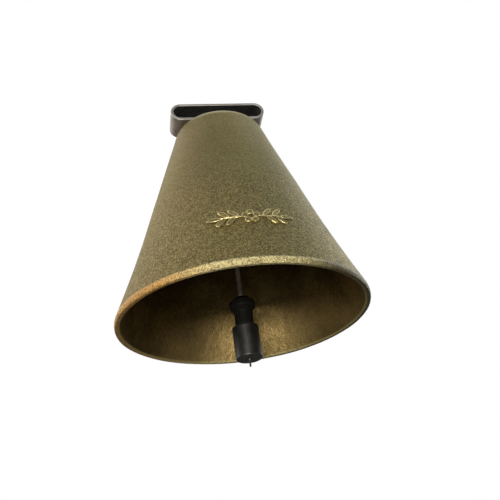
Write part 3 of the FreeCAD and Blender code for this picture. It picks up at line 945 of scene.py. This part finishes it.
class COWBELL_OT_sprig(Operator):
    """Lay a small flowering sprig on the front of the casting and raise it out of the wall"""
    bl_idname = "cowbell.sprig"
    bl_label = "Raised sprig"

    def execute(self, context):
        sizes = context.scene.cowbell_sprig
        shapes = self.petals(sizes)
        for side in (1, -1):
            shapes += self.leafy_stem(sizes, side)
        piece = self.join(shapes)
        apply(piece, 'SHRINKWRAP', target=bpy.data.objects["bell_casting"], wrap_method='PROJECT',
              use_project_x=False, use_project_y=True, use_project_z=False,
              use_negative_direction=False, use_positive_direction=True, cull_face='OFF')
        self.raise_relief(piece, sizes)
        smooth(piece, 60.0)
        mark_edges(piece)
        finish(piece, "bell", [material_for("Cast bronze relief", context)])
        return {'FINISHED'}

    def start_place(self, sizes):
        """The flower's middle, a little in front of the bell."""
        return Vector((0, SHELL_LOW.y - 5.0 * MM, LIP + sizes.height))

    def petals(self, sizes):
        """The petals, as flat discs in front of the bell."""
        made = []
        for index in range(sizes.petals):
            angle = math.pi / 2 + 2 * math.pi * index / sizes.petals
            offset = Vector((math.cos(angle), 0, math.sin(angle))) * sizes.petal_reach
            deselect()
            bpy.ops.mesh.primitive_circle_add(vertices=14, radius=sizes.petal_radius,
                                              fill_type='NGON', rotation=(math.pi / 2, 0, 0),
                                              location=self.start_place(sizes) + offset)
            made.append(named(f"petal_{index}"))
        return made

    def leafy_stem(self, sizes, side):
        """A stem to one side of the flower, with its leaves."""
        reach = sizes.leaf_pitch * sizes.leaf_pairs
        made = [self.stem(sizes, side, sizes.stem_start - sizes.stem_width,
                          sizes.stem_start + reach + sizes.stem_width)]
        made.append(self.leaf(sizes, side, sizes.stem_start + reach, 0.0))
        for index in range(sizes.leaf_pairs):
            for foot, rise in ((0.2, sizes.leaf_rise), (0.6, -sizes.leaf_rise)):
                place = sizes.stem_start + sizes.leaf_pitch * (index + foot)
                made.append(self.leaf(sizes, side, place, rise))
        return made

    def stem(self, sizes, side, start, end):
        """A flat strip, divided so that it can follow the wall."""
        deselect()
        place = self.start_place(sizes) + Vector((side * (start + end) / 2, 0, 0))
        bpy.ops.mesh.primitive_plane_add(size=1.0, location=place, rotation=(math.pi / 2, 0, 0))
        piece = bpy.context.object
        piece.scale = (end - start, sizes.stem_width, 1.0)
        piece = named("stem")
        edit(piece, 'EDGE')
        select_where(piece, 'EDGE', lambda edge: reach_along(piece, edge, 0) > 0.01 * MM)
        bpy.ops.mesh.subdivide(number_cuts=7)
        bpy.ops.object.mode_set(mode='OBJECT')
        return piece

    def leaf(self, sizes, side, foot, rise):
        """A disc drawn out to a pointed leaf, turned on its foot."""
        deselect()
        half = sizes.leaf_length / 2
        foot_place = self.start_place(sizes) + Vector((side * foot, 0, 0))
        centre = foot_place + Vector((side * half, 0, 0))
        bpy.ops.mesh.primitive_circle_add(vertices=18, radius=half, fill_type='NGON',
                                          location=centre, rotation=(math.pi / 2, 0, 0))
        piece = named("leaf")
        edit(piece)
        bpy.ops.mesh.select_all(action='SELECT')
        bpy.ops.transform.resize(value=(0.94, 1.0, 0.96 * sizes.leaf_width / sizes.leaf_length),
                                 center_override=centre)
        for end in (-1, 1):
            tip = centre.x + end * half * 0.94
            select_where(piece, 'VERT', lambda vertex: abs(vertex.co.x - tip) < 0.02 * MM)
            bpy.ops.transform.translate(value=(end * half * 0.10, 0, 0))
        bpy.ops.mesh.select_all(action='SELECT')
        bpy.ops.transform.rotate(value=side * rise, orient_axis='Y', center_override=foot_place)
        bpy.ops.object.mode_set(mode='OBJECT')
        return piece

    def join(self, shapes):
        """Join the shapes, all facing the front."""
        deselect()
        for shape in shapes:
            shape.select_set(True)
        bpy.context.view_layer.objects.active = shapes[0]
        bpy.ops.object.join()
        piece = named("raised_sprig")
        edit(piece)
        backward = [face.index for face in piece.data.polygons if face.normal.y > 0]
        select_where(piece, 'FACE', lambda face: face.index in backward)
        if backward:
            bpy.ops.mesh.flip_normals()
        bpy.ops.object.mode_set(mode='OBJECT')
        return piece

    def raise_relief(self, piece, sizes):
        """Raise domed, softly edged shapes from roots inside the wall."""
        edit(piece, 'FACE')
        bpy.ops.mesh.select_all(action='SELECT')
        root = Vector((0, sizes.root, 0.0))
        bpy.ops.transform.translate(value=root)
        rise = sizes.root + 0.45 * sizes.relief
        bpy.ops.mesh.extrude_region_move(TRANSFORM_OT_translate={"value": Vector((0, -rise, 0))})
        bpy.ops.mesh.inset(thickness=0.16 * MM, depth=0.32 * sizes.relief)
        bpy.ops.mesh.inset(thickness=0.20 * MM, depth=0.20 * sizes.relief)
        bpy.ops.mesh.inset(thickness=0.14 * MM, depth=-0.10 * sizes.relief)
        bpy.ops.mesh.select_all(action='SELECT')
        bpy.ops.mesh.select_mode(type='EDGE')
        bpy.ops.mesh.select_all(action='DESELECT')
        bpy.ops.mesh.select_non_manifold()
        bpy.ops.mesh.edge_face_add()
        bpy.ops.mesh.select_all(action='SELECT')
        bpy.ops.mesh.normals_make_consistent(inside=False)
        bpy.ops.object.mode_set(mode='OBJECT')
        apply(piece, 'SUBSURF', levels=2, render_levels=2)


class COWBELL_OT_band(Operator):
    """Bend the flat steel strip to the strap loop"""
    bl_idname = "cowbell.band"
    bl_label = "Strap band"

    def execute(self, context):
        sizes = context.scene.cowbell_hanger
        size = LOOP_HIGH - LOOP_LOW
        deselect()
        bpy.ops.mesh.primitive_cube_add(size=1.0, location=(LOOP_LOW + LOOP_HIGH) / 2, scale=size)
        piece = named("strap_band")
        edit(piece, 'EDGE')
        select_where(piece, 'EDGE', lambda edge: reach_along(piece, edge, 1) > size.y / 2)
        bpy.ops.mesh.bevel(offset=size.z / 2 - 0.005 * MM, segments=22, affect='EDGES')
        select_where(piece, 'FACE', lambda face: abs(face.normal.y) > 0.9)
        bpy.ops.mesh.delete(type='ONLY_FACE')
        bpy.ops.mesh.select_all(action='SELECT')
        bpy.ops.mesh.remove_doubles(threshold=0.02 * MM)
        for place in (0.0, 4.0, 6.4, 7.2):
            for side in (-1, 1):
                bpy.ops.mesh.select_all(action='SELECT')
                bpy.ops.mesh.bisect(plane_co=(0, side * place * MM, 0), plane_no=(0, 1, 0))
        bpy.ops.object.mode_set(mode='OBJECT')
        apply(piece, 'SOLIDIFY', thickness=sizes.band_thickness, offset=-1.0, use_even_offset=True)
        apply(piece, 'BEVEL', width=sizes.band_edge, segments=3, limit_method='ANGLE',
              angle_limit=math.radians(60))
        self.sort_faces(piece, sizes)
        deselect()
        bpy.ops.mesh.primitive_cylinder_add(vertices=CUTTER_STEPS, radius=sizes.bore_radius,
                                            depth=6.0 * MM, location=(0, 0, LOOP_LOW.z))
        cut(piece, named("hole_cutter"))
        smooth(piece)
        mark_edges(piece)
        finish(piece, "bell",
               [material_for("Band steel", context), material_for("Band inside shade", context)],
               ["strap_loop"])
        return {'FINISHED'}

    def sort_faces(self, piece, sizes):
        """Put the loop's inside, which gets the painted shade, in the second material slot."""
        piece.data.materials.append(None)
        piece.data.materials.append(None)
        size = LOOP_HIGH - LOOP_LOW
        half = size.z / 2
        for face in piece.data.polygons:
            reach = max(abs(face.center.x) - (size.x / 2 - half), 0.0)
            depth = half - math.hypot(reach, face.center.z)
            inner = depth > sizes.band_thickness - 0.25 * MM and abs(face.normal.y) < 0.5
            face.material_index = 1 if inner else 0


class COWBELL_OT_washers(Operator):
    """Make the two steel washers on the pin"""
    bl_idname = "cowbell.washers"
    bl_label = "Washers"

    def execute(self, context):
        sizes = context.scene.cowbell_hanger
        for name, low, high, node in (
                ("head_washer", RIVET_WASHER_LOW, RIVET_WASHER_HIGH, "rivet_washer"),
                ("ceiling_washer", CROWN_WASHER_LOW, CROWN_WASHER_HIGH, "crown_washer")):
            piece = spun_ring(name, sizes.bore_radius, high.x, low.z, high.z, WASHER_EDGE_ROUND)
            smooth(piece)
            mark_edges(piece)
            finish(piece, "bell", [material_for("Fastener steel", context)],
                   [node])
        return {'FINISHED'}


class COWBELL_OT_pin(Operator):
    """Turn the headed pin and bend the square eye that the clapper hangs from"""
    bl_idname = "cowbell.pin"
    bl_label = "Eye pin"

    def execute(self, context):
        sizes = context.scene.cowbell_hanger
        piece = self.shank(sizes)
        apply(piece, 'BOOLEAN', object=self.eye(sizes), operation='UNION', solver='EXACT')
        bpy.data.objects.remove(bpy.data.objects["pin_eye"], do_unlink=True)
        smooth(piece)
        mark_edges(piece)
        finish(piece, "hanger", [material_for("Fastener steel", context)],
               ["eye_pin"])
        return {'FINISHED'}

    def shank(self, sizes):
        """The pin's domed head, its shank and its collar."""
        top = PIN_HIGH.z
        head_bottom = top - sizes.head_height
        collar_top = CROWN_WASHER_LOW.z - sizes.collar_gap
        collar_bottom = collar_top - sizes.collar_height
        dome_radius = (sizes.head_radius ** 2 + sizes.head_height ** 2) / (2 * sizes.head_height)
        start = math.acos(sizes.head_radius / dome_radius)
        dome = arc(Vector((0, top - dome_radius)), dome_radius, math.pi / 2, start, 8)
        dome[0].x = 0.0
        corners = [Vector(corner) for corner in (
            (sizes.head_radius, head_bottom), (sizes.shank_radius, head_bottom),
            (sizes.shank_radius, collar_top), (sizes.collar_radius, collar_top),
            (sizes.collar_radius, collar_bottom), (0.0, collar_bottom))]
        outline = dome[:-1] + rounded([dome[-2]] + corners, PIN_EDGE_ROUND)[1:]
        return spun("eye_pin_turned", spaced(outline, 0.8 * MM), 64)

    def eye(self, sizes):
        """Round bar, run straight and bent a quarter turn four times."""
        half = sizes.eye_size / 2
        straight = half - sizes.eye_corner
        middle = PIN_LOW.z + sizes.wire_radius + half
        deselect()
        bpy.ops.mesh.primitive_circle_add(vertices=WIRE_STEPS, radius=sizes.wire_radius,
                                          fill_type='NOTHING', rotation=(0, math.pi / 2, 0),
                                          location=(-straight, 0, middle - half))
        piece = named("pin_eye")
        edit(piece)
        bpy.ops.mesh.select_all(action='SELECT')
        for quarter in range(4):
            angle = quarter * math.pi / 2
            along = Vector((math.cos(angle), 0, math.sin(angle)))
            inward = Vector((-math.sin(angle), 0, math.cos(angle)))
            bpy.ops.mesh.extrude_region_move(TRANSFORM_OT_translate={"value": along * 2 * straight})
            corner = Vector((0, 0, middle)) + along * straight - inward * straight
            bpy.ops.mesh.spin(steps=8, angle=math.pi / 2, center=corner, axis=(0, 1, 0))
        return close_up(piece)


class COWBELL_OT_rod(Operator):
    """Bend the clapper's wire to its eye and draw down its tip"""
    bl_idname = "cowbell.rod"
    bl_label = "Clapper rod"

    def execute(self, context):
        sizes = context.scene.cowbell_clapper
        eye_height = ROD_HIGH.z - sizes.eye_radius - sizes.rod_radius
        reach = sizes.bend_radius + sizes.eye_radius
        bend_height = eye_height - math.sqrt(reach ** 2 - sizes.bend_radius ** 2)
        bend_turn = math.atan2(eye_height - bend_height, sizes.bend_radius)
        bottom = SLEEVE_LOW.z + sizes.sleeve_floor
        deselect()
        bpy.ops.mesh.primitive_circle_add(vertices=WIRE_STEPS, radius=sizes.rod_radius,
                                          fill_type='NOTHING', location=(0, 0, bottom))
        piece = named("clapper_wire")
        edit(piece)
        bpy.ops.mesh.select_all(action='SELECT')
        rise = bend_height - bottom
        for _ in range(12):
            bpy.ops.mesh.extrude_region_move(TRANSFORM_OT_translate={"value": (0, 0, rise / 12)})
        bpy.ops.mesh.spin(steps=10, angle=bend_turn, axis=(1, 0, 0),
                          center=(0, sizes.bend_radius, bend_height))
        bpy.ops.mesh.spin(steps=36, angle=sizes.eye_end + bend_turn, axis=(-1, 0, 0),
                          center=(0, 0, eye_height))
        bpy.ops.mesh.edge_face_add()
        bpy.ops.mesh.inset(thickness=0.28 * MM, depth=0.14 * MM)
        select_where(piece, 'VERT', lambda vertex: vertex.co.z < bottom + 0.01 * MM)
        bpy.ops.mesh.edge_face_add()
        bpy.ops.mesh.select_mode(type='FACE')
        bpy.ops.mesh.inset(thickness=sizes.rod_radius - sizes.tip_radius, depth=-TIP_TAPER)
        drop = ROD_LOW.z + TIP_ROUND_HEIGHT - (bottom - TIP_TAPER)
        bpy.ops.mesh.extrude_region_move(TRANSFORM_OT_translate={"value": (0, 0, drop)})
        bpy.ops.mesh.inset(thickness=TIP_ROUND, depth=-TIP_ROUND_HEIGHT)
        close_up(piece)
        smooth(piece, 50.0)
        mark_edges(piece)
        finish(piece, "clapper", [material_for("Drawn wire", context)],
               ["clapper_rod"])
        return {'FINISHED'}


class COWBELL_OT_striker(Operator):
    """Turn the moulded knob and the striker sleeve"""
    bl_idname = "cowbell.striker"
    bl_label = "Striker"

    def execute(self, context):
        sizes = context.scene.cowbell_clapper
        for piece, node, material in ((self.knob(sizes), "clapper_knob", "Matt black"),
                                      (self.sleeve(sizes), "striker_sleeve", "Satin black")):
            smooth(piece, 40.0)
            mark_edges(piece)
            finish(piece, "clapper", [material_for(material, context)], [node])
        return {'FINISHED'}

    def knob(self, sizes):
        """The knob on its neck, with a shallow groove for a foot."""
        bore = sizes.rod_radius + sizes.rod_fit
        middle = (bore + sizes.neck_foot_radius) / 2
        top = KNOB_TOP - KNOB_BOTTOM
        corners = [Vector((radius, KNOB_BOTTOM + height)) for radius, height in (
            (middle, 0.0), (sizes.neck_foot_radius, 0.0),
            (sizes.neck_foot_radius, sizes.neck_foot),
            (sizes.neck_radius, sizes.neck_foot + 0.05 * MM),
            (sizes.neck_radius, sizes.neck_height), (sizes.knob_radius, sizes.knob_low),
            (sizes.knob_radius, sizes.knob_high), (sizes.knob_top_radius, top),
            (bore, top), (bore, 0.0), (middle, 0.0))]
        return spun("moulded_knob", spaced(rounded(corners, KNOB_EDGE_ROUND, 5), 0.7 * MM), 80)

    def sleeve(self, sizes):
        """The striker, chamfered at both ends and closed round the tip."""
        low, high = SLEEVE_LOW.z, SLEEVE_HIGH.z
        radius, chamfer = SLEEVE_HIGH.x, sizes.sleeve_chamfer
        bore = sizes.rod_radius + sizes.rod_fit
        tip = sizes.tip_radius + sizes.rod_fit
        floor = low + sizes.sleeve_floor
        recess = low + sizes.recess_depth
        middle = (bore + radius) / 2
        corners = [Vector(corner) for corner in (
            (middle, high), (radius - chamfer, high), (radius, high - chamfer),
            (radius, low + chamfer), (radius - chamfer, low), (sizes.recess_radius, low),
            (sizes.recess_radius - RECESS_SLOPE, recess), (tip, recess),
            (tip, floor), (bore, floor), (bore, high), (middle, high))]
        return spun("striker_barrel", spaced(rounded(corners, SLEEVE_EDGE_ROUND), 0.8 * MM), 88)


class COWBELL_OT_stage(Operator):
    """Set up the floor, the soft lights, the white surroundings and the camera"""
    bl_idname = "cowbell.stage"
    bl_label = "Stage"

    def execute(self, context):
        scene = context.scene
        deselect()
        bpy.ops.mesh.primitive_plane_add(size=FLOOR_SIZE,
                                         location=(0, 0, ROD_LOW.z - FLOOR_DROP))
        floor = named("floor")
        floor.data.materials.append(material_for("Pale floor", context))
        self.surroundings(scene)
        for name, place, width, height, power, tint in LIGHT_PANELS:
            self.panel(name, Vector(place), width, height, power, tint)
        deselect()
        bpy.ops.object.camera_add(location=Vector((0, 0, LIP)) + CAMERA_PLACE,
                                  rotation=[math.radians(angle) for angle in CAMERA_TURN])
        camera = context.object
        camera.name = "camera"
        camera.data.sensor_width = CAMERA_SENSOR
        camera.data.lens = CAMERA_LENS
        camera.data.clip_start = CAMERA_CLIP
        scene.camera = camera
        return {'FINISHED'}

    def surroundings(self, scene):
        """White behind the object, and a dimmer even light around it."""
        scene.view_settings.view_transform = 'Standard'
        world = bpy.data.worlds.new("Studio")
        scene.world = world
        world.use_nodes = True
        tree = world.node_tree
        lit = tree.nodes["Background"]
        lit.inputs["Color"].default_value = (0.97, 0.98, 1.0, 1.0)
        direction = add(tree, "TexCoord", -4, 0).outputs["Generated"]
        facing = add(tree, "SeparateXYZ", -3, 0, None, Vector=direction)
        behind = ramp(tree, -2, 0, facing.outputs["Y"], -0.7, 0.9, 0.07, 0.70)
        above = ramp(tree, -2, 1, facing.outputs["Z"], -0.3, 0.6, 0.5, 1.0)
        tree.links.new(maths(tree, 'MULTIPLY', -1, 0, behind, above), lit.inputs["Strength"])
        seen = add(tree, "Background", 0, 2, None, Color=(1.0, 1.0, 1.0), Strength=1.0)
        rays = add(tree, "LightPath", 0, -2)
        mix = add(tree, "MixShader", 2, 0, None, i0=rays.outputs["Is Camera Ray"],
                  i1=lit.outputs[0], i2=seen.outputs[0])
        tree.links.new(mix.outputs[0], tree.nodes["World Output"].inputs["Surface"])

    def panel(self, name, place, width, height, power, tint):
        """A soft light panel that faces the middle of the bell."""
        deselect()
        aim = Vector((0, 0, (LIP + LOOP_HIGH.z) / 2)) - place
        bpy.ops.object.light_add(type='AREA', location=place,
                                 rotation=aim.to_track_quat('-Z', 'Y').to_euler())
        light = bpy.context.object
        light.name = name
        light.data.shape = 'RECTANGLE'
        light.data.size = width
        light.data.size_y = height
        light.data.energy = power
        light.data.color = tint
        light.visible_camera = False


class COWBELL_PT_build(Panel):
    """The pieces of the cowbell, in the order in which they are made"""
    bl_label = "Cowbell"
    bl_space_type = 'VIEW_3D'
    bl_region_type = 'UI'
    bl_category = "Cowbell"

    def draw(self, context):
        for operator in BUILD_ORDER:
            self.layout.operator(operator.bl_idname)
        for group in SETTINGS:
            box = self.layout.box()
            settings = getattr(context.scene, group)
            for name in settings.__annotations__:
                box.prop(settings, name)


BUILD_ORDER = (COWBELL_OT_stage, COWBELL_OT_casting, COWBELL_OT_sprig, COWBELL_OT_band,
               COWBELL_OT_washers, COWBELL_OT_pin, COWBELL_OT_rod, COWBELL_OT_striker)
SETTINGS = {
    "cowbell_casting": CastingSizes,
    "cowbell_sprig": SprigSizes,
    "cowbell_hanger": HangerSizes,
    "cowbell_clapper": ClapperSizes,
    "cowbell_finishes": Finishes,
}


def register():
    for group in SETTINGS.values():
        bpy.utils.register_class(group)
    for operator in BUILD_ORDER:
        bpy.utils.register_class(operator)
    bpy.utils.register_class(COWBELL_PT_build)
    for name, group in SETTINGS.items():
        setattr(bpy.types.Scene, name, PointerProperty(type=group))


def unregister():
    for name in SETTINGS:
        delattr(bpy.types.Scene, name)
    bpy.utils.unregister_class(COWBELL_PT_build)
    for operator in reversed(BUILD_ORDER):
        bpy.utils.unregister_class(operator)
    for group in SETTINGS.values():
        bpy.utils.unregister_class(group)


def main():
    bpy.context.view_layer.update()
    register()
    bpy.ops.cowbell.stage()
    bpy.ops.cowbell.casting()
    bpy.ops.cowbell.sprig()
    bpy.ops.cowbell.band()
    bpy.ops.cowbell.washers()
    bpy.ops.cowbell.pin()
    bpy.ops.cowbell.rod()
    bpy.ops.cowbell.striker()
    deselect()


if __name__ == "__main__":
    main()
